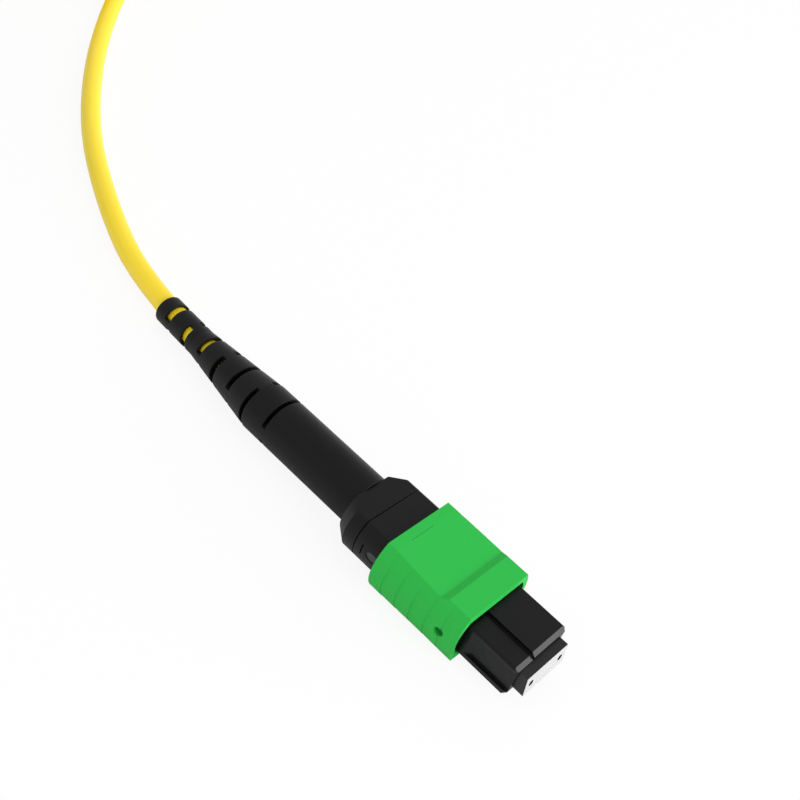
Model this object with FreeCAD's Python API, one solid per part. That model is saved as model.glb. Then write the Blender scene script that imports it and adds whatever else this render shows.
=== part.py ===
"""Multi-fibre push-on connector on the end of a round patch cord, with its twin on the far end.

Sizes are in millimetres. Each connector is built along X in its own frame: its axis is z = 0,
its ferrule looks along +X and x = 0 is the middle of the sleeve's front pad. The finished part
stands on z = 0, so everything is raised by the half height of the sleeve. The cord runs back
along the floor, is wound into a coil and ends in the second connector.
"""
import math
import os

import FreeCAD
import Part

V = FreeCAD.Vector

# Fits
SLIDE_GAP = 0.08
FLOAT_GAP = 0.04
SEAT_GAP = 0.02

# Modelling margins: how far a cut runs past a form, and how deep a form is rooted in another
PAST = 1.0
ROOT = 0.5

# Plug frame, the piece that enters an adapter
FRAME_REACH = 6.17
FRAME_LENGTH = 16.27
FRAME_HALF_W = 3.85
FRAME_BOTTOM = -2.4
FRAME_TOP = 1.9
KEY_TOP = 2.3
KEY_SIDE = -1.3
KEY_LENGTH = 9.3
FRAME_CHAMFER = 0.45
NOSE_BEVEL = 0.25
EDGE_CHAMFER = 0.22
LATCH_DEPTH = 0.3
LATCH_LENGTH = 4.8
LATCH_RAMP = 0.8
LATCH_FLANGE = 0.55
STOP_LENGTH = 0.8
STOP_REACH = 0.65
STOP_HALF_H = 0.9
STOP_PLAY = 0.05
WINDOW_START = 1.0
WINDOW_END = 2.7

# Coupling sleeve, the piece that the fingers hold
SLEEVE_FRONT = 1.4
SLEEVE_LAP = 0.9
SLEEVE_HALF_H = 3.5
SLEEVE_EDGE = 0.6
SLEEVE_BULGE = 1.6
SLEEVE_ROOF = 0.67
GRIP_STEPS = 5
GRIP_STEP = 0.1
GRIP_FIRST = 1.93
GRIP_PITCH = 1.87
FINGER_DEPTH = 0.35
FINGER_RAMP = 0.75
FRONT_PAD = 2.8
REAR_PAD = 1.1
MOUTH_DEPTH = 4.0
MOUTH_EDGE = 0.4
MOUTH_WALL = 0.5
MOUTH_ROOF = 0.95
LUG_LENGTH = 0.9
PEEP_R = 0.55
PEEP_PLACE = 2.05

# Ferrule group
FERRULE_HALF_W = 3.2
FERRULE_HALF_H = 1.25
FERRULE_LENGTH = 8.0
FERRULE_PROUD = 1.0
FACE_ANGLE = 8.0
FLANGE_RIM_W = 0.22
FLANGE_RIM_H = 0.2
FLANGE_LENGTH = 1.5
GUIDE_PITCH = 4.6
GUIDE_R = 0.35
FIBRE_ROW_HALF_W = 1.5
FIBRE_R = 0.0625
RIBBON_HALF_W = 1.55
RIBBON_HALF_H = 0.15
RIBBON_LAP = 0.1
RIBBON_SHORT = 0.8
POCKET_HALF_W = 1.7
POCKET_HALF_H = 0.72
POCKET_DEPTH = 4.3
FILL_START = 2.2
FILL_END = 0.3
FILL_HALF_W = 1.5
SPACER_LENGTH = 1.5
SPACER_INSET_W = 0.12
SPACER_INSET_H = 0.05
SOFT_LAP = 2.0
SOFT_PROUD = 0.15

# Rear body, cap and crimp
BODY_EDGE = 0.2
BODY_BULGE = 1.1
BODY_LENGTH = 4.2
PLUG_LENGTH = 1.4
SLIT_DEPTH = 1.6
BORE_STOP = 0.1
ARM_T = 0.44
ARM_LENGTH = 1.8
CLIP_HALF_H = 0.65
CLIP_PLAY = 0.05
CLIP_ROOT = 0.3
CLIP_FLAT = 0.35
DIMPLE_PLACE = 1.8
DIMPLE_Z = 0.3
DIMPLE_HALF_L = 0.8
DIMPLE_HALF_H = 0.55
DIMPLE_DEPTH = 0.2
GROOVE_PLACE = 0.85
GROOVE_WIDTH = 0.15
GROOVE_DEPTH = 0.3
GROOVE_LOW = -0.45
GROOVE_HIGH = 0.95
CAP_GAP = 0.12
CAP_LENGTH = 2.98
CAP_SLANT = 1.45
CAP_INSET_TOP = 1.4
CAP_INSET_SIDE = 1.1
BARREL_INSET = 0.45
BARREL_LENGTH = 5.4
BARREL_BORE = 1.7
YARN_T = 0.12
YARN_INSET = 0.3
CRIMP_T = 0.28
CRIMP_TAIL = 2.9

# Strain boot: a stout stretch, then a tapering and a slim one after a slight bend
BOOT_WALL = 0.33
BOOT_LEDGE = 0.05
BOOT_LAP = 0.3
BEND_X = -32.8
BEND_Y = 0.36
BEND_Z = -0.44
TAPER_END_X = -44.5
TIP_X = -51.45
TIP_Y = 2.26
TIP_Z = -1.72
BOOT_TIP_R = 1.78
TAIL_GAP = 0.27
CORD_GAP = 0.13
SLOT_ROWS = 7
SLOT_PITCH = 3.29
SLOT_FIRST = 2.2
SLOT_WIDE = 1.0
SLOT_NARROW = 0.55
SLOT_WEB = 0.3

# Springs
PUSH_WIRE_R = 0.2
PUSH_HALF_W = 2.6
PUSH_HALF_H = 1.2
PUSH_TURNS = 4
RETURN_WIRE_R = 0.1
RETURN_R = 0.4
RETURN_TURNS = 5
SPRING_STEPS = 6

# Cord
CORD_R = 1.35
CORD_STRAIGHT = 4.8
TOUCH_DOWN_X = -57.4
FLOOR_X = (-72.6, -88.1, -108.1)
FLOOR_Y = (9.0, 16.8, 33.5)
COIL_X = -139.3
COIL_Y = 45.7
COIL_R = 15.0
COIL_ENTRY = 42.0
COIL_EXIT = 232.0
COIL_FULL_TURNS = 7
FAR_TURN = -31.0
FAR_LEAD = 12.0

# Widths and heights that follow the frame and the sleeve
SLEEVE_FLAT = FRAME_HALF_W + SLEEVE_EDGE
SLEEVE_SIDE = FRAME_HALF_W + SLEEVE_BULGE
SLEEVE_SIDE_REAR = SLEEVE_SIDE + GRIP_STEPS * GRIP_STEP
BODY_FLAT = FRAME_HALF_W - BODY_EDGE
BODY_SIDE = FRAME_HALF_W + BODY_BULGE
BODY_HALF_H = SLEEVE_HALF_H - SLEEVE_ROOF - SLIDE_GAP
FLANGE_HALF_W = FERRULE_HALF_W + FLANGE_RIM_W
FLANGE_HALF_H = FERRULE_HALF_H + FLANGE_RIM_H
BARREL_R = BODY_HALF_H - BARREL_INSET
CRIMP_R = BARREL_R + YARN_T + CRIMP_T
BOOT_R = CRIMP_R + SEAT_GAP + BOOT_WALL

# Middle points of the boot and the coil
BOOT_BEND = V(BEND_X, BEND_Y, BEND_Z)
BOOT_TIP = V(TIP_X, TIP_Y, TIP_Z)
COIL_CENTRE = V(COIL_X, COIL_Y, 0)

# Stations along X
MOUTH_END = SLEEVE_FRONT - MOUTH_DEPTH
LUG_END = MOUTH_END - LUG_LENGTH
FRAME_FRONT = SLEEVE_FRONT + FRAME_REACH
FRAME_REAR = FRAME_FRONT - FRAME_LENGTH
SLEEVE_REAR = FRAME_REAR - SLEEVE_LAP
FACE_X = FRAME_FRONT + FERRULE_PROUD
FERRULE_REAR = FACE_X - FERRULE_LENGTH
FLANGE_FRONT = FERRULE_REAR + FLANGE_LENGTH
SPACER_REAR = FERRULE_REAR - SPACER_LENGTH
PLUG_FRONT = FRAME_REAR + PLUG_LENGTH
BODY_REAR = FRAME_REAR - BODY_LENGTH
CAP_FRONT = BODY_REAR - CAP_GAP
CAP_REAR = CAP_FRONT - CAP_LENGTH
BARREL_REAR = BODY_REAR - BARREL_LENGTH
CRIMP_REAR = BARREL_REAR - CRIMP_TAIL
RIBBON_REAR = BARREL_REAR + RIBBON_SHORT


def box(x0, x1, y0, y1, z0, z1):
    """Block between two corners, given as ranges."""
    return Part.makeBox(x1 - x0, y1 - y0, z1 - z0, V(x0, y0, z0))


def prism_y(points, y0, y1):
    """Outline in XZ, pushed from y0 to y1."""
    wire = Part.makePolygon([V(x, y0, z) for x, z in points + points[:1]])
    return Part.Face(wire).extrude(V(0, y1 - y0, 0))


def prism_z(points, z0, z1):
    """Outline in XY, pushed from z0 to z1."""
    wire = Part.makePolygon([V(x, y, z0) for x, y in points + points[:1]])
    return Part.Face(wire).extrude(V(0, 0, z1 - z0))


def rod(x0, x1, radius, y=0.0, z=0.0):
    """Round bar along X."""
    return Part.makeCylinder(radius, x1 - x0, V(x0, y, z), V(1, 0, 0))


def barrel_outline(x, flat, half_h, side):
    """Outline across X with flat top and bottom and two bulging sides."""
    arc_a = Part.Arc(V(x, flat, half_h), V(x, side, 0), V(x, flat, -half_h)).toShape()
    arc_b = Part.Arc(V(x, -flat, -half_h), V(x, -side, 0), V(x, -flat, half_h)).toShape()
    top = Part.makeLine(V(x, -flat, half_h), V(x, flat, half_h))
    low = Part.makeLine(V(x, flat, -half_h), V(x, -flat, -half_h))
    return Part.Wire([arc_a, low, arc_b, top])


def barrel_form(x0, x1, flat, half_h, side):
    """Bar along X with flat top and bottom and two bulging sides."""
    return Part.Face(barrel_outline(x0, flat, half_h, side)).extrude(V(x1 - x0, 0, 0))


def both_sides(shape):
    """The shape and its mirror image across the plane y = 0."""
    return [shape, shape.mirror(V(0, 0, 0), V(0, 1, 0))]


def coupling_sleeve():
    """Finger grip that slides on the frame: stepped sides, a shallow dip above and below."""
    solids = []
    edge = SLEEVE_FRONT
    for step in range(GRIP_STEPS + 1):
        back = SLEEVE_REAR
        if step < GRIP_STEPS:
            back = SLEEVE_FRONT - GRIP_FIRST - GRIP_PITCH * step
        side = SLEEVE_SIDE + GRIP_STEP * step
        solids.append(barrel_form(back, edge, SLEEVE_FLAT, SLEEVE_HALF_H, side))
        edge = back
    grip = solids[0].multiFuse(solids[1:])
    dip = finger_dip()
    under = dip.mirror(V(0, 0, 0), V(0, 0, 1))
    reach = SLEEVE_SIDE_REAR + PAST
    start = V(SLEEVE_FRONT - PEEP_PLACE, -reach, 0)
    peep = Part.makeCylinder(PEEP_R, 2 * reach, start, V(0, 1, 0))
    return grip.cut([dip, under, peep] + sleeve_hollows()).removeSplitter()


def far_sleeve():
    """The far connector's sleeve, with plain sides."""
    grip = barrel_form(SLEEVE_REAR, SLEEVE_FRONT, SLEEVE_FLAT, SLEEVE_HALF_H, SLEEVE_SIDE_REAR)
    return grip.cut(sleeve_hollows()).removeSplitter()


def sleeve_hollows():
    """Mouth, guide and rear room inside the sleeve."""
    half_w = FRAME_HALF_W + SLIDE_GAP
    rear_flat = BODY_FLAT + SLIDE_GAP
    rear_side = BODY_SIDE + SLIDE_GAP
    low = FRAME_BOTTOM - SLIDE_GAP
    high = FRAME_TOP + SLIDE_GAP
    mouth_flat = SLEEVE_FLAT - MOUTH_EDGE
    mouth_half_h = SLEEVE_HALF_H - MOUTH_ROOF
    mouth_side = SLEEVE_SIDE - MOUTH_WALL
    mouth = barrel_form(MOUTH_END, SLEEVE_FRONT + PAST, mouth_flat, mouth_half_h, mouth_side)
    guide = box(LUG_END - PAST, MOUTH_END + PAST, -half_w, half_w, low, high)
    rear_half_h = BODY_HALF_H + SLIDE_GAP
    rear = barrel_form(SLEEVE_REAR - PAST, LUG_END, rear_flat, rear_half_h, rear_side)
    return [mouth, guide, rear]


def finger_dip():
    """Shallow dip in the sleeve's top, with a short ramp in front and a long one behind."""
    ramp_top = SLEEVE_FRONT - FRONT_PAD
    outline = [
        (SLEEVE_REAR + REAR_PAD, SLEEVE_HALF_H),
        (ramp_top - FINGER_RAMP, SLEEVE_HALF_H - FINGER_DEPTH),
        (ramp_top, SLEEVE_HALF_H),
        (ramp_top, SLEEVE_HALF_H + PAST),
        (SLEEVE_REAR + REAR_PAD, SLEEVE_HALF_H + PAST),
    ]
    return prism_y(outline, -SLEEVE_SIDE_REAR, SLEEVE_SIDE_REAR)


def plug_frame():
    """Keyed nose with latch channels in its sides and a chamber for the ferrule."""
    solid = frame_outside()
    half_w = FERRULE_HALF_W + FLOAT_GAP
    half_h = FERRULE_HALF_H + FLOAT_GAP
    throat = box(FLANGE_FRONT, FRAME_FRONT + PAST, -half_w, half_w, -half_h, half_h)
    half_w = FLANGE_HALF_W + FLOAT_GAP
    half_h = FLANGE_HALF_H + FLOAT_GAP
    chamber_front = FLANGE_FRONT + SEAT_GAP
    chamber = box(FRAME_REAR - PAST, chamber_front, -half_w, half_w, -half_h, half_h)
    reach = FRAME_HALF_W + PAST
    half_h = CLIP_HALF_H + 2 * CLIP_PLAY
    start = FRAME_REAR + WINDOW_START
    window = box(start, FRAME_REAR + WINDOW_END, -reach, reach, -half_h, half_h)
    return solid.cut([throat, chamber, window]).removeSplitter()


def frame_outside():
    """Outer form of the plug frame, before its chamber is cut."""
    flat_end = FRAME_FRONT - FRAME_CHAMFER
    body = prism_y([
        (FRAME_REAR, FRAME_BOTTOM),
        (flat_end, FRAME_BOTTOM),
        (FRAME_FRONT, FRAME_BOTTOM + FRAME_CHAMFER),
        (FRAME_FRONT, FRAME_TOP - FRAME_CHAMFER),
        (flat_end, FRAME_TOP),
        (FRAME_REAR, FRAME_TOP),
    ], -FRAME_HALF_W, FRAME_HALF_W)
    key = prism_y([
        (FRAME_FRONT - KEY_LENGTH, 0),
        (FRAME_FRONT, 0),
        (FRAME_FRONT, KEY_TOP - FRAME_CHAMFER),
        (flat_end, KEY_TOP),
        (FRAME_FRONT - KEY_LENGTH, KEY_TOP),
    ], KEY_SIDE, FRAME_HALF_W)
    stop_x = MOUTH_END + STOP_PLAY
    side = FRAME_HALF_W + STOP_REACH
    inner = FRAME_HALF_W - STOP_PLAY
    stop = box(stop_x, stop_x + STOP_LENGTH, inner, side, -STOP_HALF_H, STOP_HALF_H)
    solid = body.multiFuse([key] + both_sides(stop))
    cuts = both_sides(latch_channel(FRAME_TOP - LATCH_FLANGE))
    cuts += both_sides(nose_chamfer())
    cuts += [edge_chamfer(FRAME_HALF_W, KEY_TOP), edge_chamfer(-FRAME_HALF_W, FRAME_TOP)]
    return solid.cut(cuts).removeSplitter()


def latch_channel(top):
    """Shallow channel in one side of the nose that a latch arm runs in."""
    start = FRAME_FRONT - LATCH_LENGTH
    wall = FRAME_HALF_W - LATCH_DEPTH
    outline = [
        (start, wall),
        (FRAME_FRONT + PAST, wall),
        (FRAME_FRONT + PAST, FRAME_HALF_W + PAST),
        (start - LATCH_RAMP, FRAME_HALF_W + PAST),
        (start - LATCH_RAMP, FRAME_HALF_W),
    ]
    return prism_z(outline, FRAME_BOTTOM + LATCH_FLANGE, top)


def nose_chamfer():
    """Wedge off one upright front edge of the nose."""
    outline = [
        (FRAME_FRONT - FRAME_CHAMFER, FRAME_HALF_W),
        (FRAME_FRONT, FRAME_HALF_W - NOSE_BEVEL),
        (FRAME_FRONT + PAST, FRAME_HALF_W - NOSE_BEVEL),
        (FRAME_FRONT + PAST, FRAME_HALF_W + PAST),
        (FRAME_FRONT - FRAME_CHAMFER, FRAME_HALF_W + PAST),
    ]
    return prism_z(outline, FRAME_BOTTOM - PAST, KEY_TOP + PAST)


def edge_chamfer(y, z):
    """Long narrow wedge off a top edge of the nose."""
    inward = -EDGE_CHAMFER if y > 0 else EDGE_CHAMFER
    corners = [V(LUG_END, y, z - EDGE_CHAMFER), V(LUG_END, y + inward, z)]
    corners.append(V(LUG_END, y - inward, z + EDGE_CHAMFER))
    face = Part.Face(Part.makePolygon(corners + corners[:1]))
    return face.extrude(V(FRAME_FRONT - LUG_END + PAST, 0, 0))


def ferrule():
    """Rectangular ferrule with a flange, two guide holes and an angled end face."""
    low = -FLANGE_HALF_H
    flange = box(FERRULE_REAR, FLANGE_FRONT, -FLANGE_HALF_W, FLANGE_HALF_W, low, FLANGE_HALF_H)
    tunnel = fibre_row(FERRULE_REAR, FACE_X + PAST)
    pocket_end = FERRULE_REAR + POCKET_DEPTH
    pocket = ribbon_room(FERRULE_REAR - PAST, pocket_end)
    start = FERRULE_REAR + FILL_START
    top = FERRULE_HALF_H + PAST
    window = box(start, pocket_end - FILL_END, -FILL_HALF_W, FILL_HALF_W, 0, top)
    return ferrule_nose().fuse(flange).cut([pocket, window, tunnel] + guide_holes())


def far_ferrule():
    """The far connector's ferrule, without its pocket and window."""
    return ferrule_nose().cut(guide_holes())


def ferrule_nose():
    """Bar of the ferrule, its end face leaning back at the top."""
    return prism_y([
        (FERRULE_REAR, -FERRULE_HALF_H),
        (FACE_X + face_lean(), -FERRULE_HALF_H),
        (FACE_X, FERRULE_HALF_H),
        (FERRULE_REAR, FERRULE_HALF_H),
    ], -FERRULE_HALF_W, FERRULE_HALF_W)


def face_lean():
    """How far the foot of the ferrule's end face stands before its top."""
    return 2 * FERRULE_HALF_H * math.tan(math.radians(FACE_ANGLE))


def guide_holes():
    """Two long holes that take the guide pins."""
    hole = rod(FERRULE_REAR - PAST, FACE_X + PAST, GUIDE_R, GUIDE_PITCH / 2)
    return both_sides(hole)


def fibre_row(x0, x1):
    """The row of bare fibres, laid side by side."""
    return box(x0, x1, -FIBRE_ROW_HALF_W, FIBRE_ROW_HALF_W, -FIBRE_R, FIBRE_R)


def ribbon_room(x0, x1):
    """Room for the ribbon and its soft block."""
    return box(x0, x1, -POCKET_HALF_W, POCKET_HALF_W, -POCKET_HALF_H, POCKET_HALF_H)


def ribbon_bar(x0, x1):
    """Flat bar of the ribbon's width and thickness."""
    return box(x0, x1, -RIBBON_HALF_W, RIBBON_HALF_W, -RIBBON_HALF_H, RIBBON_HALF_H)


def fibre_ribbon():
    """Flat ribbon stripped to its row of bare fibres, polished off level with the ferrule's face."""
    split = FERRULE_REAR + POCKET_DEPTH
    front = prism_y([
        (FACE_X + face_lean(), -FERRULE_HALF_H),
        (FACE_X + 2 * PAST, -FERRULE_HALF_H),
        (FACE_X + 2 * PAST, FERRULE_HALF_H),
        (FACE_X, FERRULE_HALF_H),
    ], -FERRULE_HALF_W, FERRULE_HALF_W)
    bare = fibre_row(split - RIBBON_LAP, FACE_X + PAST)
    return ribbon_bar(RIBBON_REAR, split).fuse(bare).cut(front)


def ferrule_boot():
    """Soft block that guides the ribbon into the ferrule's pocket."""
    block = ribbon_room(SPACER_REAR - SOFT_PROUD, FERRULE_REAR + SOFT_LAP)
    return block.cut(ribbon_bar(SPACER_REAR - PAST, FERRULE_REAR + SOFT_LAP + PAST))


def pin_spacer():
    """Plate behind the ferrule that takes the spring, open in the middle."""
    half_w = FLANGE_HALF_W - SPACER_INSET_W
    half_h = FLANGE_HALF_H - SPACER_INSET_H
    plate = box(SPACER_REAR, FERRULE_REAR, -half_w, half_w, -half_h, half_h)
    return plate.cut(ribbon_room(SPACER_REAR - PAST, FERRULE_REAR + PAST))


def spring(x0, x1, half_w, half_h, wire_r, turns, y=0.0):
    """Coil spring along X between two faces, oval if its half width and height differ."""
    length = x1 - x0 - 2 * wire_r
    steps = SPRING_STEPS * turns
    rings = []
    for i in range(steps + 1):
        angle = 2 * math.pi * i / SPRING_STEPS
        out = V(0, math.cos(angle), math.sin(angle))
        x = x0 + wire_r + length * i / steps
        centre = V(x, y + half_w * out.y, half_h * out.z)
        along = V(wire_r, 0, 0)
        corners = [centre + along, centre + out * wire_r, centre - along, centre - out * wire_r]
        rings.append(Part.makePolygon(corners + corners[:1]))
    return Part.makeLoft(rings, True, True)


def rear_body():
    """Rear housing that backs the spring, clips into the frame and carries the barrel."""
    arm_in = FLANGE_HALF_W - ARM_T
    arm_end = PLUG_FRONT + ARM_LENGTH
    arm = box(PLUG_FRONT - ROOT, arm_end, arm_in, FLANGE_HALF_W, -CLIP_HALF_H, CLIP_HALF_H)
    barrel = rod(BARREL_REAR, BODY_REAR + ROOT, BARREL_R)
    solid = body_block().multiFuse([barrel] + both_sides(arm) + both_sides(clip_hook()))
    bore = rod(BARREL_REAR - PAST, FRAME_REAR - BORE_STOP, BARREL_BORE)
    slit = ribbon_room(PLUG_FRONT - SLIT_DEPTH, PLUG_FRONT + PAST)
    marks = both_sides(side_dimple()) + both_sides(side_groove())
    return solid.cut(marks + [bore, slit]).removeSplitter()


def body_block():
    """The part of the rear body that shows, with the plug that enters the frame."""
    block = barrel_form(BODY_REAR, FRAME_REAR, BODY_FLAT, BODY_HALF_H, BODY_SIDE)
    low = -FLANGE_HALF_H
    plug = box(FRAME_REAR - ROOT, PLUG_FRONT, -FLANGE_HALF_W, FLANGE_HALF_W, low, FLANGE_HALF_H)
    return block.fuse(plug)


def clip_hook():
    """Hook on a side arm, with a lead-in slope, that snaps into the frame's window."""
    start = FRAME_REAR + WINDOW_START + CLIP_PLAY
    end = FRAME_REAR + WINDOW_END - 2 * CLIP_PLAY
    outline = [
        (start, FLANGE_HALF_W - CLIP_ROOT),
        (end, FLANGE_HALF_W - CLIP_ROOT),
        (start + CLIP_FLAT, FRAME_HALF_W - CLIP_PLAY),
        (start, FRAME_HALF_W - CLIP_PLAY),
    ]
    return prism_z(outline, -CLIP_HALF_H, CLIP_HALF_H)


def side_dimple():
    """Small oval dimple in the side of the rear body."""
    oval = Part.Ellipse(V(0, 0, 0), DIMPLE_HALF_L, DIMPLE_HALF_H).toShape()
    oval.rotate(V(0, 0, 0), V(1, 0, 0), 90)
    oval.translate(V(FRAME_REAR - DIMPLE_PLACE, BODY_SIDE - DIMPLE_DEPTH, DIMPLE_Z))
    return Part.Face(Part.Wire([oval])).extrude(V(0, PAST, 0))


def side_groove():
    """Short upright groove in the side of the rear body."""
    start = BODY_REAR + GROOVE_PLACE
    floor = BODY_SIDE - GROOVE_DEPTH
    return box(start, start + GROOVE_WIDTH, floor, BODY_SIDE + PAST, GROOVE_LOW, GROOVE_HIGH)


def rear_cap():
    """Cap behind the rear body, over the crimp ring."""
    return cap_form().cut(rod(CAP_REAR - PAST, CAP_FRONT + PAST, CRIMP_R + SEAT_GAP))


def cap_form():
    """Outer form of the cap, its sides narrowing towards the rear face."""
    slant_front = CAP_REAR + CAP_SLANT
    solid = barrel_form(slant_front, CAP_FRONT, BODY_FLAT, BODY_HALF_H, BODY_SIDE)
    wide = barrel_outline(slant_front, BODY_FLAT, BODY_HALF_H, BODY_SIDE)
    flat = BODY_FLAT - CAP_INSET_TOP
    narrow = barrel_outline(CAP_REAR, flat, BODY_HALF_H, BODY_SIDE - CAP_INSET_SIDE)
    return solid.fuse(Part.makeLoft([wide, narrow], True, True))


def aramid_yarn():
    """Strength yarn laid over the barrel, under the crimp ring."""
    layer = rod(BARREL_REAR, BODY_REAR - YARN_INSET, BARREL_R + YARN_T)
    return layer.cut(rod(BARREL_REAR - PAST, BODY_REAR, BARREL_R))


def crimp_ring():
    """Stepped metal ring that holds the yarn on the barrel and grips the jacket."""
    big = rod(BARREL_REAR - CRIMP_T, BODY_REAR - YARN_INSET, CRIMP_R)
    small = rod(CRIMP_REAR, BARREL_REAR, CORD_R + CRIMP_T)
    hollow = rod(BARREL_REAR, BODY_REAR, BARREL_R + YARN_T)
    grip = rod(CRIMP_REAR - PAST, BODY_REAR, CORD_R)
    return big.fuse(small).cut([hollow, grip])


def bar_between(start, end, radius, before=0.0, after=0.0):
    """Round bar from one point to another, and a little before and after them."""
    way = (end - start).normalize()
    length = before + (end - start).Length + after
    return Part.makeCylinder(radius, length, start - way * before, way)


def strain_boot():
    """Boot that follows the cord, open for the crimp ring and slotted towards its tip."""
    crimp_room = rod(BARREL_REAR - CRIMP_T - SEAT_GAP, CAP_FRONT, CRIMP_R + SEAT_GAP)
    tail_r = CORD_R + CRIMP_T + TAIL_GAP
    tail_room = bar_between(boot_start(), BOOT_BEND, tail_r, after=BOOT_LAP)
    cord_room = bar_between(BOOT_BEND, BOOT_TIP, CORD_R + CORD_GAP, after=PAST)
    return boot_form().cut([crimp_room, tail_room, cord_room] + boot_slots())


def boot_form():
    """Outer form of the boot, from the cap's rear face to its tip."""
    cap_side = rod(CAP_REAR, CAP_FRONT, BOOT_R + PAST)
    stout = bar_between(boot_start(), BOOT_BEND, BOOT_R, before=PAST).cut(cap_side)
    taper_end = on_line(BOOT_BEND, BOOT_TIP, TAPER_END_X)
    length = (taper_end - BOOT_BEND).Length
    way = (taper_end - BOOT_BEND).normalize()
    base_r = BOOT_R - BOOT_LEDGE
    lap = bar_between(BOOT_BEND - way * BOOT_LAP, BOOT_BEND, base_r)
    taper = Part.makeCone(base_r, BOOT_TIP_R, length, BOOT_BEND, way)
    slim = bar_between(taper_end, BOOT_TIP, BOOT_TIP_R)
    return stout.multiFuse([lap, taper, slim])


def boot_start():
    """Where the middle of the boot meets the cap's rear face."""
    return V(CAP_REAR, 0, 0)


def boot_slots():
    """Rows of paired slots down to the cord; each row is a quarter turn from the next."""
    cuts = []
    for row in range(SLOT_ROWS):
        share = row / (SLOT_ROWS - 1)
        width = SLOT_WIDE + (SLOT_NARROW - SLOT_WIDE) * share
        x = BOOT_TIP.x + SLOT_FIRST + SLOT_PITCH * row
        place, way = boot_station(x)
        web = boot_radius(x) * SLOT_WEB
        for side in (0, 180):
            cuts.append(slot_cut(place, way, width, web, 90 * row + side))
    return cuts


def boot_station(x):
    """Middle and direction of the boot at a place along X."""
    start, end = (boot_start(), BOOT_BEND) if x > BOOT_BEND.x else (BOOT_BEND, BOOT_TIP)
    return on_line(start, end, x), (start - end).normalize()


def boot_radius(x):
    """Outer radius of the boot at a place along X."""
    share = (BOOT_BEND.x - x) / (BOOT_BEND.x - TAPER_END_X)
    return BOOT_R + (BOOT_TIP_R - BOOT_R) * min(max(share, 0), 1)


def slot_cut(place, way, width, web, turn):
    """One flat-bottomed slot; half a web stays between its floor and the middle of the boot."""
    reach = BOOT_R + PAST
    solid = Part.makeBox(2 * reach, reach - web, width, V(-reach, web, -width / 2))
    solid.rotate(V(0, 0, 0), V(0, 0, 1), turn)
    lean = FreeCAD.Rotation(V(0, 1, 0), V(0, 0, 1), way, "ZXY")
    solid.Placement = FreeCAD.Placement(place, lean).multiply(solid.Placement)
    return solid


def springs():
    """The oval push spring and the two small return springs beside the frame."""
    beside = FRAME_HALF_W + SLIDE_GAP + RETURN_R + RETURN_WIRE_R
    size = (RETURN_R, RETURN_R, RETURN_WIRE_R, RETURN_TURNS)
    return {
        "push_spring": spring(
            PLUG_FRONT, SPACER_REAR, PUSH_HALF_W, PUSH_HALF_H, PUSH_WIRE_R, PUSH_TURNS
        ),
        "return_spring_left": spring(FRAME_REAR, LUG_END, *size, beside),
        "return_spring_right": spring(FRAME_REAR, LUG_END, *size, -beside),
    }


def connector():
    """Every piece of the near connector, in the connector's own frame."""
    pieces = {
        "coupling_sleeve": coupling_sleeve(),
        "plug_frame": plug_frame(),
        "ferrule": ferrule(),
        "fibre_ribbon": fibre_ribbon(),
        "ferrule_boot": ferrule_boot(),
        "pin_spacer": pin_spacer(),
        "rear_body": rear_body(),
        "rear_cap": rear_cap(),
        "aramid_yarn": aramid_yarn(),
        "crimp_ring": crimp_ring(),
        "strain_boot": strain_boot(),
    }
    pieces.update(springs())
    return pieces


def far_connector():
    """The far connector's pieces, the same in form with fewer faces."""
    return {
        "far_coupling_sleeve": far_sleeve(),
        "far_plug_frame": plug_frame(),
        "far_ferrule": far_ferrule(),
        "far_rear_body": body_block(),
        "far_rear_cap": cap_form(),
        "far_strain_boot": boot_form(),
    }


def near(point):
    """A point of the near connector, raised to stand on the floor."""
    return point + V(0, 0, SLEEVE_HALF_H)


def far(point):
    """The same point on the far connector."""
    return far_placement().multVec(point)


def far_placement():
    """The far connector's place: its cord meets the floor a lead's length from the coil."""
    outward = far_leave() - coil_point(0, 0)
    way = V(-outward.y, outward.x, 0).normalize()
    turned = FreeCAD.Rotation(V(0, 0, 1), FAR_TURN)
    origin = far_leave() + way * FAR_LEAD - turned.multVec(touch_down())
    return FreeCAD.Placement(V(origin.x, origin.y, SLEEVE_HALF_H), turned)


def coil_point(radius, angle):
    """A point over the floor on a turn of the coil."""
    turn = math.radians(angle)
    return COIL_CENTRE + V(radius * math.cos(turn), radius * math.sin(turn), CORD_R)


def on_line(start, end, x):
    """The point at a place along X on the line through two points."""
    return start + (end - start) * ((x - start.x) / (end.x - start.x))


def touch_down():
    """Where the cord behind a boot reaches the floor, in line with the boot's tip."""
    return on_line(BOOT_BEND, BOOT_TIP, TOUCH_DOWN_X)


def near_route():
    """From the near connector over the floor to the coil."""
    start = V(BARREL_REAR, 0, 0)
    in_boot = [start, start - V(CORD_STRAIGHT, 0, 0), BOOT_BEND, touch_down()]
    on_floor = [V(x, y, CORD_R) for x, y in zip(FLOOR_X, FLOOR_Y)]
    return [near(p) for p in in_boot] + on_floor + [coil_point(COIL_R, COIL_ENTRY)]


def far_leave():
    """Where the far lead leaves the coil, on the coil's outermost turn."""
    return coil_point(COIL_R + 2 * CORD_R, COIL_EXIT)


def far_route():
    """From the coil over the floor to the tip of the far boot."""
    return [far_leave(), far(touch_down()), far(BOOT_TIP)]


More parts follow.
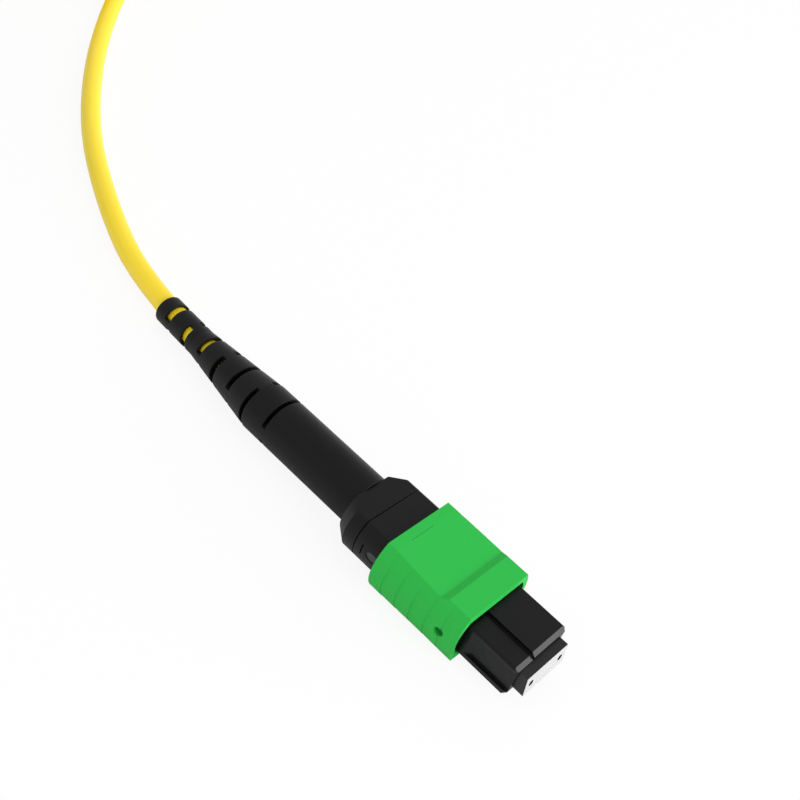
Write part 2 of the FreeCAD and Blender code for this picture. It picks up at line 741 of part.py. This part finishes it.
def cord_tube(points):
    """Round tube along straight runs joined by arcs that touch both runs."""
    edges = []
    start = points[0]
    for before, corner, after in zip(points, points[1:], points[2:]):
        way_in = (corner - before).normalize()
        way_out = (after - corner).normalize()
        half_turn = way_in.getAngle(way_out) / 2
        reach = 0.45 * min((corner - before).Length, (after - corner).Length)
        radius = reach / math.tan(half_turn)
        print(f"cord corner at {corner.x:.0f}, {corner.y:.0f}: radius {radius:.0f}")
        inward = (way_out - way_in).normalize()
        middle = corner + inward * (radius / math.cos(half_turn) - radius)
        first = corner - way_in * reach
        last = corner + way_out * reach
        edges.append(Part.makeLine(start, first))
        edges.append(Part.Arc(first, middle, last).toShape())
        start = last
    edges.append(Part.makeLine(start, points[-1]))
    path = Part.Wire(edges)
    ring = Part.Wire([Part.makeCircle(CORD_R, points[0], points[1] - points[0])])
    tube = path.makePipeShell([ring], True, False)
    share = tube.Volume / (math.pi * CORD_R ** 2 * path.Length)
    print(f"tube {path.Length:.1f} long, volume share {share:.4f}")
    return tube, path.Length


def cord_coil():
    """Outer shape of the wound cord: its turns lie three wide and three high."""
    half = 3 * CORD_R
    outline = [(COIL_R - half, 0), (COIL_R + half, 0), (COIL_R + half, 2 * half), (COIL_R - half, 2 * half)]
    corners = [COIL_CENTRE + V(x, 0, z) for x, z in outline]
    face = Part.Face(Part.makePolygon(corners + corners[:1]))
    return face.revolve(COIL_CENTRE, V(0, 0, 1), 360)


def stand(shape, placement):
    """One solid set down at its place in the finished part."""
    solid = shape.Solids[0].copy()
    solid.Placement = placement.multiply(solid.Placement)
    return solid


def main():
    """Build every piece and write each to its own file."""
    os.makedirs("parts", exist_ok=True)
    near_place = FreeCAD.Placement(V(0, 0, SLEEVE_HALF_H), FreeCAD.Rotation())
    nodes = {}
    for name, shape in connector().items():
        nodes[name] = stand(shape, near_place)
    for name, shape in far_connector().items():
        nodes[name] = stand(shape, far_placement())
    nodes["cord_jacket"], near_length = cord_tube(near_route())
    nodes["cord_far_lead"], far_length = cord_tube(far_route())
    nodes["cord_coil"] = cord_coil()
    wound = math.radians(COIL_FULL_TURNS * 360 + COIL_EXIT - COIL_ENTRY) * COIL_R
    print(f"cord {near_length + far_length + wound:.0f} long in all")
    for name, solid in nodes.items():
        solid.exportStep(f"parts/{name}.step")
    print(f"{len(nodes)} pieces written")


main()
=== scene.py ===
# %% [markdown]
# # A multi-fibre push-on connector on its patch cord
#
# The solids come from the CAD frame, in metres, and already stand where they belong. This lesson
# adds the cord, the materials, the floor, the light and the camera. We start with the frame.

import math

import bpy
from mathutils import Matrix, Vector


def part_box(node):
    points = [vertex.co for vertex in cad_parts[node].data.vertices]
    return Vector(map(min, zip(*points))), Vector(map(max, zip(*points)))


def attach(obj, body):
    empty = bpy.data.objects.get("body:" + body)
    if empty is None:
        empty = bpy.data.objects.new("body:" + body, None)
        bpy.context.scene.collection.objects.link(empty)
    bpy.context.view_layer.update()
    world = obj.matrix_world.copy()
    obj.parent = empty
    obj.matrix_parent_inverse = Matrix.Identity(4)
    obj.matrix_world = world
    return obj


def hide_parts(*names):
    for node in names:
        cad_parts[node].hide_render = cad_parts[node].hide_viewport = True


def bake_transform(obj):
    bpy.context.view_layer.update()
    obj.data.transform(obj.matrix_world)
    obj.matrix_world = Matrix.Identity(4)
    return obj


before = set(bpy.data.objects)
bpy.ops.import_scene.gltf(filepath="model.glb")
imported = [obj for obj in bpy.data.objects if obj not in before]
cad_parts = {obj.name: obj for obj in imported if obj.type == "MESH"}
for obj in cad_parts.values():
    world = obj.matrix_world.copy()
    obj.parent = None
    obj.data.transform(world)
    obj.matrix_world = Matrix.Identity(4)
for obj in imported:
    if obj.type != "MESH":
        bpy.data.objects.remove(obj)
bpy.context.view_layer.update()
scene = bpy.context.scene
MM = 0.001

# %% [markdown]
# ## Camera
#
# The picture looks down at the connector from its right front, at about 42 degrees above the
# floor, through a slightly long lens. The horizon leans, so the camera is rolled as well. One
# could aim it with a Track To constraint and an empty, but three plain angles are easier to read.

# %% Camera
LENS = 51.8
SENSOR = 36
CAMERA_PLACE = Vector((24.6, -69.35, 92.0)) * MM
CAMERA_TURN = (45.949, -14.175, 43.898)
camera_data = bpy.data.cameras.new("camera")
camera_data.lens = LENS
camera_data.sensor_width = SENSOR
camera_data.clip_start = 5 * MM
camera = bpy.data.objects.new("camera", camera_data)
camera.location = CAMERA_PLACE
camera.rotation_euler = [math.radians(angle) for angle in CAMERA_TURN]
scene.collection.objects.link(camera)
scene.camera = camera
print("camera is", round(camera.location.length / MM), "mm from the origin")

# %% [markdown]
# ## The cord's route
#
# The cord leaves the crimp ring straight, follows the boot down to the floor and runs away in one
# loose curve. Most of the cord lies out of view, so it is wound into a small coil beside
# the picture, and it ends in the second connector. The points are those of the CAD tube, used
# here as control points of one smooth spline. Points on the curve itself would be harder to keep
# smooth by hand.

# %% Route of the cord
CORD_R = 1.35
COIL_CENTRE = Vector((-139.3, 45.7, 0))
COIL_R = 15.0
COIL_ENTRY = 42.0
COIL_EXIT = 232.0
FULL_TURNS = 7
TURN_POINTS = 16

near_lead = [
    (-18.3, 0, 3.5),
    (-23.1, 0, 3.5),
    (-32.8, 0.36, 3.06),
    (-57.4, 2.87, 1.37),
    (-72.1, 8.4, CORD_R),
    (-88.4, 17.0, CORD_R),
    (-107.9, 32.9, CORD_R),
]
print("near lead:", len(near_lead), "points")

# %% [markdown]
# ## The coil
#
# Seven and a half turns lie three wide and three high, as a cord does when it is wound round the
# fingers. A loop makes the points: each turn keeps one place in the stack for most of its way
# and then moves over to the next place. A helix would be simpler, but it would stand up as a
# tall spring.

# %% Coil points
# Place of each turn in the stack: column from the inside, row from the floor
PLACES = [(1, 0), (0, 0), (0, 1), (0, 2), (1, 2), (2, 2), (2, 1), (2, 0)]
MOVE_SHARE = 0.3
sweep = 360 * FULL_TURNS + COIL_EXIT - COIL_ENTRY
steps = round(sweep / 360 * TURN_POINTS)
coil = []
for step in range(steps + 1):
    turned = step / steps * sweep
    turn = min(int(turned / 360), FULL_TURNS - 1)
    moved = min(max((turned / 360 - turn - 1) / MOVE_SHARE + 1, 0), 1)
    column = PLACES[turn][0] * (1 - moved) + PLACES[turn + 1][0] * moved
    row = PLACES[turn][1] * (1 - moved) + PLACES[turn + 1][1] * moved
    angle = math.radians(COIL_ENTRY + turned)
    radius = COIL_R + (column - 1) * 2 * CORD_R
    height = CORD_R * (1 + 2 * row)
    coil.append(COIL_CENTRE + Vector((radius * math.cos(angle), radius * math.sin(angle), height)))
print("coil:", len(coil), "points")

# %% [markdown]
# ## The far lead
#
# From the coil the cord runs back over the floor to the boot of the second connector. That
# connector is the first one turned about an upright line and moved, so the step from where the
# cord meets the floor to the boot's tip is the same at both ends.

# %% Far lead points
FAR_WAY = math.radians(COIL_EXIT + 90)
FAR_TURN = math.radians(-31.0)
FAR_LEAD = 12.0
TIP_STEP = Vector((5.95, -0.61, 0.41))
far_way = Vector((math.cos(FAR_WAY), math.sin(FAR_WAY), 0))
far_touch = coil[-1] + far_way * FAR_LEAD
far_tip = far_touch + Matrix.Rotation(FAR_TURN, 3, "Z") @ TIP_STEP
far_lead = [far_touch, far_tip]
print("far lead:", [tuple(round(v, 1) for v in p) for p in far_lead])

# %% [markdown]
# ## Materials
#
# The parts are moulded plastic, so one function makes them all: a base colour, a roughness, the
# strength of the shine, and a very fine grain that breaks up the highlights. A Bevel node rounds
# the edges in the shading, as moulded edges are never sharp. Real chamfers on every edge would
# cost many more faces for the same look. Colours are those of linear light, as Blender wants.

# %% Moulding function
GRAIN_HEIGHT = 0.1
EDGE_SAMPLES = 6


def moulded(name, colour, roughness, shine=0.2, grain=0.02, edge=0.08, grain_size=0.25):
    """A moulded material with softened edges and a fine grain. Sizes are in millimetres."""
    material = bpy.data.materials.new(name)
    material.use_nodes = True
    nodes, links = material.node_tree.nodes, material.node_tree.links
    shader = nodes["Principled BSDF"]
    shader.inputs["Base Color"].default_value = (*colour, 1)
    shader.inputs["Roughness"].default_value = roughness
    shader.inputs["Specular IOR Level"].default_value = shine
    place = nodes.new("ShaderNodeTexCoord")
    noise = nodes.new("ShaderNodeTexNoise")
    noise.inputs["Scale"].default_value = 1 / (grain_size * MM)
    bump = nodes.new("ShaderNodeBump")
    bump.inputs["Strength"].default_value = grain
    bump.inputs["Distance"].default_value = GRAIN_HEIGHT * MM
    bevel = nodes.new("ShaderNodeBevel")
    bevel.samples = EDGE_SAMPLES
    bevel.inputs["Radius"].default_value = edge * MM
    links.new(place.outputs["Object"], noise.inputs["Vector"])
    links.new(noise.outputs["Fac"], bump.inputs["Height"])
    links.new(bevel.outputs["Normal"], bump.inputs["Normal"])
    links.new(bump.outputs["Normal"], shader.inputs["Normal"])
    return material


print("edges are rounded with", EDGE_SAMPLES, "samples")

# %% [markdown]
# ## The plastics
#
# The sleeve's green is nearly matt, so its shine is low. The black pieces get their grey look
# from what they mirror, and not from their colour, which is almost pure black. The jacket is
# the glossiest piece, and its pale edges come from that. The coated fibres and the yarn run
# inside the connector.

# %% Plastics
green = moulded("sleeve green", (0.03, 0.48, 0.07), 0.55, shine=0.1, grain=0.05)
black = moulded("housing black", (0.004, 0.004, 0.0045), 0.32)
grey = moulded("ferrule grey", (0.018, 0.018, 0.019), 0.35)
rubber = moulded("boot black", (0.004, 0.004, 0.0045), 0.42, shine=0.18, grain=0.1, edge=0.2)
yellow = moulded("jacket yellow", (1.0, 0.74, 0.015), 0.35, shine=0.5, grain=0.03)
clear = moulded("coated fibre", (0.6, 0.66, 0.7), 0.2)
yarn = moulded("yarn", (0.7, 0.5, 0.12), 0.8, grain=0.4, grain_size=0.1)
print("plastics:", [m.name for m in (green, black, grey, rubber, yellow, clear, yarn)])

# %% [markdown]
# ## Places with painted light and shade
#
# Three pieces have a second colour in one place, and these colours are painted light and shade: a
# painted reflection on the ferrule's end, painted shade in the sleeve's hair line and painted shade
# on the jacket under the boot. Each piece is one solid, so the shader finds the place: it turns a
# normal or a coordinate into a mask of 0 or 1, and the mask picks the colour. One could give those
# faces a second material instead, but two of the places are only parts of a face. Three small
# functions do the work.

# %% Mask functions


def axes_of(material, kind, output):
    """The three parts of a vector that a node gives, such as a place or a normal."""
    tree = material.node_tree
    split = tree.nodes.new("ShaderNodeSeparateXYZ")
    tree.links.new(tree.nodes.new(kind).outputs[output], split.inputs["Vector"])
    return split.outputs


def mask(material, operation, first, *values):
    """A Math node's output; the first input is linked, the others are numbers or sockets."""
    tree = material.node_tree
    maths = tree.nodes.new("ShaderNodeMath")
    maths.operation = operation
    tree.links.new(first, maths.inputs[0])
    for place, value in enumerate(values, 1):
        if isinstance(value, bpy.types.NodeSocket):
            tree.links.new(value, maths.inputs[place])
        else:
            maths.inputs[place].default_value = value
    return maths.outputs["Value"]


def paint_light_where(material, share, colour):
    """Paint light and shade into a material: another base colour where the mask is 1."""
    tree = material.node_tree
    base = tree.nodes["Principled BSDF"].inputs["Base Color"]
    tint = tree.nodes.new("ShaderNodeMix")
    tint.data_type = "RGBA"
    tint.inputs["A"].default_value = base.default_value[:]
    tint.inputs["B"].default_value = (*colour, 1)
    tree.links.new(share, tint.inputs["Factor"])
    tree.links.new(tint.outputs["Result"], base)


print("made the functions axes_of, mask and paint_light_where")

# %% [markdown]
# ## Painted reflection on the ferrule's end
#
# A ferrule's end is polished off with the fibres in it. Its pale colour is a painted reflection of
# bright light in the polished face. No other face in sight points along the connector, so the
# normal finds this one. The limit is low enough for the second connector's ferrule too, which is
# turned by 31 degrees.

# %% Ferrule end
END_FACES = 0.8
facing = axes_of(grey, "ShaderNodeNewGeometry", "True Normal")
# Painted reflection: the pale grey on the end face stands for bright light mirrored in it.
paint_light_where(grey, mask(grey, "GREATER_THAN", facing["X"], END_FACES), (0.5, 0.5, 0.5))
print("ends are pale where the normal's X is over", END_FACES)

# %% [markdown]
# ## The sleeve's hair line
#
# Where an insert met the mould, the sleeve keeps a fine groove in its top, beside the rear edge.
# It is too fine for geometry, so the shade in that groove is painted as a darker green line. The
# mask is 1 inside a small box, so three comparisons are multiplied, one for each axis.

# %% Hair line
LINE_MIDDLE = Vector((-8.45, -0.7, 7.0)) * MM
LINE_HALF = Vector((0.035, 1.6, 0.1)) * MM
spot = axes_of(green, "ShaderNodeTexCoord", "Object")
groove_shade_mask = mask(green, "COMPARE", spot["X"], LINE_MIDDLE.x, LINE_HALF.x)
for axis, middle, half in (("Y", LINE_MIDDLE.y, LINE_HALF.y), ("Z", LINE_MIDDLE.z, LINE_HALF.z)):
    groove_shade_mask = mask(green, "MULTIPLY", groove_shade_mask, mask(green, "COMPARE", spot[axis], middle, half))
# Painted shade: the darker green stands for the shade inside the fine groove.
paint_light_where(green, groove_shade_mask, (0.018, 0.29, 0.042))
print("hair line is", round(2 * LINE_HALF.y / MM, 1), "mm long")

# %% [markdown]
# ## Painted shade under the boot
#
# Under the boot the jacket lies deep in shade, so only the three rows of slots near the tip show
# yellow. That shade is painted: the jacket turns nearly black where it lies further forward than
# a place along the connector. No tube is drawn over it.

# %% Painted shade under the boot
BOOT_SHADE_END = -40.0 * MM
spot = axes_of(yellow, "ShaderNodeTexCoord", "Object")
# Painted shade: the jacket is drawn nearly black inside the boot, where the slots look into shade.
paint_light_where(yellow, mask(yellow, "GREATER_THAN", spot["X"], BOOT_SHADE_END), (0.004, 0.004, 0.0045))
print("tube ends at x =", round(BOOT_SHADE_END / MM), "mm")

# %% [markdown]
# ## Metals
#
# The springs and the crimp ring are plain drawn metal. They are hidden inside the connector, and
# show only when a viewer takes it apart.

# %% Drawn metals


def drawn_metal(name, colour, roughness):
    """Drawn or pressed metal with fine marks along it."""
    material = moulded(name, colour, roughness, grain=0.15, grain_size=0.4)
    material.node_tree.nodes["Principled BSDF"].inputs["Metallic"].default_value = 1
    return material


steel = drawn_metal("spring steel", (0.55, 0.56, 0.58), 0.3)
plated = drawn_metal("plated crimp", (0.68, 0.64, 0.55), 0.35)
print("metals:", steel.name, "and", plated.name)

# %% [markdown]
# ## Paint the CAD nodes
#
# Each node already has one material slot, so it is enough to put the new material in it. The
# table says which piece is made of what.

# %% Paint
PAINT = {
    "coupling_sleeve": green,
    "far_coupling_sleeve": green,
    "plug_frame": black,
    "far_plug_frame": black,
    "rear_body": black,
    "far_rear_body": black,
    "rear_cap": black,
    "far_rear_cap": black,
    "ferrule": grey,
    "far_ferrule": grey,
    "ferrule_boot": rubber,
    "pin_spacer": black,
    "fibre_ribbon": clear,
    "strain_boot": rubber,
    "far_strain_boot": rubber,
    "push_spring": steel,
    "return_spring_left": steel,
    "return_spring_right": steel,
    "crimp_ring": plated,
    "aramid_yarn": yarn,
    "cord_jacket": yellow,
    "cord_coil": yellow,
    "cord_far_lead": yellow,
}
for node, material in PAINT.items():
    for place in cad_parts[node].material_slots:
        place.material = material
print("painted", len(PAINT), "of", len(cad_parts), "nodes")

# %% [markdown]
# ## Floors of the side holes and dimples
#
# A small hole in each side of the sleeve shows green at its bottom, so it is closed towards the
# nose. The oval dimples in the rear body look grey, because their polished floors mirror the pale
# ground. A thin disc makes each of these floors and moves with its body. A Boolean that fills the
# hole would change the CAD node, which has to stay as it is. The discs' colours are painted light
# and shade: the hole's floor is a darker green as painted shade, because light reaches the bottom
# of a hole badly, and the dimples' grey is a painted reflection of the pale ground.

# %% Hole and dimple floors
DISC_SIDES = 32
# Painted shade: a darker copy of the sleeve green for the bottom of the hole.
hole_shade_green = moulded("hole painted shade green", (0.012, 0.2, 0.03), 0.6, shine=0.1)
# Painted reflection: a grey base colour for the pale ground mirrored in the dimple floors.
dimple_reflection_grey = moulded("dimple painted reflection grey", (0.055, 0.055, 0.056), 0.35)
# Name, material, body and slot, then the left one's middle and its half sizes along X, Z and Y
FLOORS = [
    ("hole_floor", hole_shade_green, "sleeve", "sleeve_green", (-0.65, 5.03, 3.5), (0.55, 0.55, 0.05)),
    ("dimple_floor", dimple_reflection_grey, "housing", "housing_black", (-10.5, 4.81, 3.8), (0.8, 0.54, 0.06)),
]


def floor_disc(name, middle, half):
    """A thin disc that lies across Y, round or oval."""
    bpy.ops.mesh.primitive_cylinder_add(
        vertices=DISC_SIDES,
        radius=MM,
        depth=2 * MM,
        location=Vector(middle) * MM,
        rotation=(math.pi / 2, 0, 0),
    )
    disc = bpy.context.object
    disc.name = name
    disc.data.transform(Matrix.Diagonal((*half, 1)))
    return disc


for name, material, body, finish, (x, y, z), half in FLOORS:
    for side, sign in (("left", 1), ("right", -1)):
        disc = floor_disc(name + "_" + side, (x, sign * y, z), half)
        disc.data.materials.append(material)
        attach(disc, body)
print("floors:", [row[0] for row in FLOORS], "on both sides")

# %% [markdown]
# ## Spring wire
#
# Three springs work inside the connector: an oval one pushes the ferrule forward, and two small
# ones push the sleeve. Each is drawn again here as a round wire. The wire's middle is a smooth
# spline with twelve points to a turn. A Screw modifier would make a round spring, but not an
# oval one.

# %% Spring wire
RING_POINTS = 12


def wire_line(wire, middle, half, turns):
    """Lay a curve's one spline round an oval, from the rear end to the front end."""
    line = wire.splines.new("NURBS")
    last = turns * RING_POINTS
    line.points.add(last)
    for i, point in enumerate(line.points):
        angle = 2 * math.pi * i / RING_POINTS
        x = middle.x + half.x * (2 * i / last - 1)
        y = middle.y + half.y * math.cos(angle)
        z = middle.z + half.z * math.sin(angle)
        point.co = (x * MM, y * MM, z * MM, 1)
    line.order_u = 3
    line.use_endpoint_u = True


print("a turn of wire has", RING_POINTS, "points")

# %% [markdown]
# ## Springs as meshes
#
# A spring gets shorter when its joint moves, and a CAD node can't change its shape. Here the curve
# becomes a mesh that takes the node's place, and the node is hidden.

# %% Wire springs


def wire_spring(node, turns, wire_r):
    """Redraw a spring node as round wire, as a mesh that takes the node's place."""
    low, high = (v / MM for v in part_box(node))
    middle = (low + high) / 2
    half = (high - low) / 2 - Vector((wire_r, wire_r, wire_r))
    wire = bpy.data.curves.new(node + "_wire", "CURVE")
    wire.dimensions = "3D"
    wire.bevel_depth = wire_r * MM
    wire.bevel_resolution = 1
    wire.resolution_u = 2
    wire.use_fill_caps = True
    wire_line(wire, middle, half, turns)
    drawn = bpy.data.objects.new(node + "_drawn", wire)
    mesh = bpy.data.meshes.new_from_object(drawn)
    bpy.data.objects.remove(drawn)
    spring = bpy.data.objects.new(node + "_wire", mesh)
    scene.collection.objects.link(spring)
    mesh.materials.append(steel)
    mesh.shade_smooth()
    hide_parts(node)
    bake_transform(spring)
    return spring


springs = [
    wire_spring("push_spring", turns=4, wire_r=0.2),
    wire_spring("return_spring_left", turns=5, wire_r=0.1),
    wire_spring("return_spring_right", turns=5, wire_r=0.1),
]
print("springs:", [(s.name, len(s.data.polygons)) for s in springs])

# %% [markdown]
# ## The cord's shape
#
# A curve with a round bevel is the plainest cord: its line stays editable, and its thickness is
# one number. The order is set after the points, because before that Blender limits it to the
# number of points there are.

# %% Cord curve
points = [Vector(p) for p in near_lead] + coil + far_lead
curve = bpy.data.curves.new("patch_cord", "CURVE")
curve.dimensions = "3D"
curve.bevel_depth = CORD_R * MM
curve.bevel_resolution = 6
curve.resolution_u = 6
curve.use_fill_caps = True
spline = curve.splines.new("NURBS")
spline.points.add(len(points) - 1)
for place, point in zip(spline.points, points):
    place.co = (*(point * MM), 1)
spline.order_u = 3
spline.use_endpoint_u = True
cord = bpy.data.objects.new("patch_cord", curve)
scene.collection.objects.link(cord)
curve.materials.append(yellow)
print("cord has", len(points), "points")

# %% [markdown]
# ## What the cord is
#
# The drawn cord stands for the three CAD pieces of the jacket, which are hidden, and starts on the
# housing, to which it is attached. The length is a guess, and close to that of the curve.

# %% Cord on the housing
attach(cord, "housing")
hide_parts("cord_jacket", "cord_coil", "cord_far_lead")

# %% [markdown]
# ## Paper
#
# The connector lies on a white floor that runs out into a white background. Seen directly, the
# floor is mostly plain white and only a tenth lit, so the shadow stays faint. Everything else
# sees an ordinary pale surface, which lights the object from below as a sheet of paper would. A
# brighter lamp would also make it white, but it would bleach the object.

# %% Paper
PAPER = 0.92
WHITE_SHARE = 0.9
paper = bpy.data.materials.new("paper")
paper.use_nodes = True
nodes, links = paper.node_tree.nodes, paper.node_tree.links
lit = nodes["Principled BSDF"]
lit.inputs["Base Color"].default_value = (PAPER, PAPER, PAPER, 1)
lit.inputs["Roughness"].default_value = 0.9
white = nodes.new("ShaderNodeEmission")
white.inputs["Color"].default_value = (1, 1, 1, 1)
ray = nodes.new("ShaderNodeLightPath")
share = nodes.new("ShaderNodeMath")
share.operation = "MULTIPLY"
share.inputs[1].default_value = WHITE_SHARE
links.new(ray.outputs["Is Camera Ray"], share.inputs[0])
mix = nodes.new("ShaderNodeMixShader")
links.new(share.outputs["Value"], mix.inputs["Fac"])
links.new(lit.outputs["BSDF"], mix.inputs[1])
links.new(white.outputs["Emission"], mix.inputs[2])
links.new(mix.outputs["Shader"], nodes["Material Output"].inputs["Surface"])
print("seen directly,", paper.name, "is", WHITE_SHARE, "plain white")

# %% [markdown]
# ## Floor
#
# One big square is enough for a floor, as its far edge nearly melts into the background.

# %% Floor
FLOOR_WIDTH = 6
bpy.ops.mesh.primitive_plane_add(size=FLOOR_WIDTH, location=(0, 0, 0))
floor = bpy.context.object
floor.name = "floor"
floor.data.materials.append(paper)
print("floor is", round(floor.dimensions.x, 1), "m across")

# %% [markdown]
# ## Light
#
# Two soft lamps and a pale world. The key lamp stands straight in front of the ferrule, about 30
# degrees up, so the top faces are lighter than the slanted ones beside them. The other lamp is
# weak and low, and picks out the chamfers of the nose. Neither stands where the black top faces
# would mirror it, because black plastic shows its lamps more than its colour. The world gives
# the rest, from all sides.

# %% Lamps
AIM = Vector((-0.03, 0, 0))


def lamp(name, place, size, watts):
    """A square area lamp that looks at the object's middle."""
    data = bpy.data.lights.new(name, "AREA")
    data.size = size
    data.energy = watts
    obj = bpy.data.objects.new(name, data)
    obj.location = place
    obj.rotation_euler = (AIM - obj.location).to_track_quat("-Z", "Y").to_euler()
    scene.collection.objects.link(obj)
    return obj


lamps = [
    lamp("key", (0.86, 0.0, 0.5), size=0.5, watts=4.9),
    lamp("front", (0.45, 0.35, 0.06), size=0.3, watts=2.1),
]
print("lamps:", [o.name for o in lamps])

# %% [markdown]
# ## World
#
# The camera sees a plain white world, of strength 1. The object gets a little less from it, so
# that the lamps still make its faces differ. One strength for both would make either the
# background grey or the object pale.

# %% World
WORLD_LIGHT = 0.76
world = bpy.data.worlds.new("studio")
scene.world = world
world.use_nodes = True
nodes, links = world.node_tree.nodes, world.node_tree.links
sky = nodes["Background"]
sky.inputs["Color"].default_value = (1, 1, 1, 1)
ray = nodes.new("ShaderNodeLightPath")
power = nodes.new("ShaderNodeMath")
power.operation = "MAXIMUM"
power.inputs[1].default_value = WORLD_LIGHT
links.new(ray.outputs["Is Camera Ray"], power.inputs[0])
links.new(power.outputs["Value"], sky.inputs["Strength"])
scene.view_settings.view_transform = "Standard"
print("world lights the object at", WORLD_LIGHT)
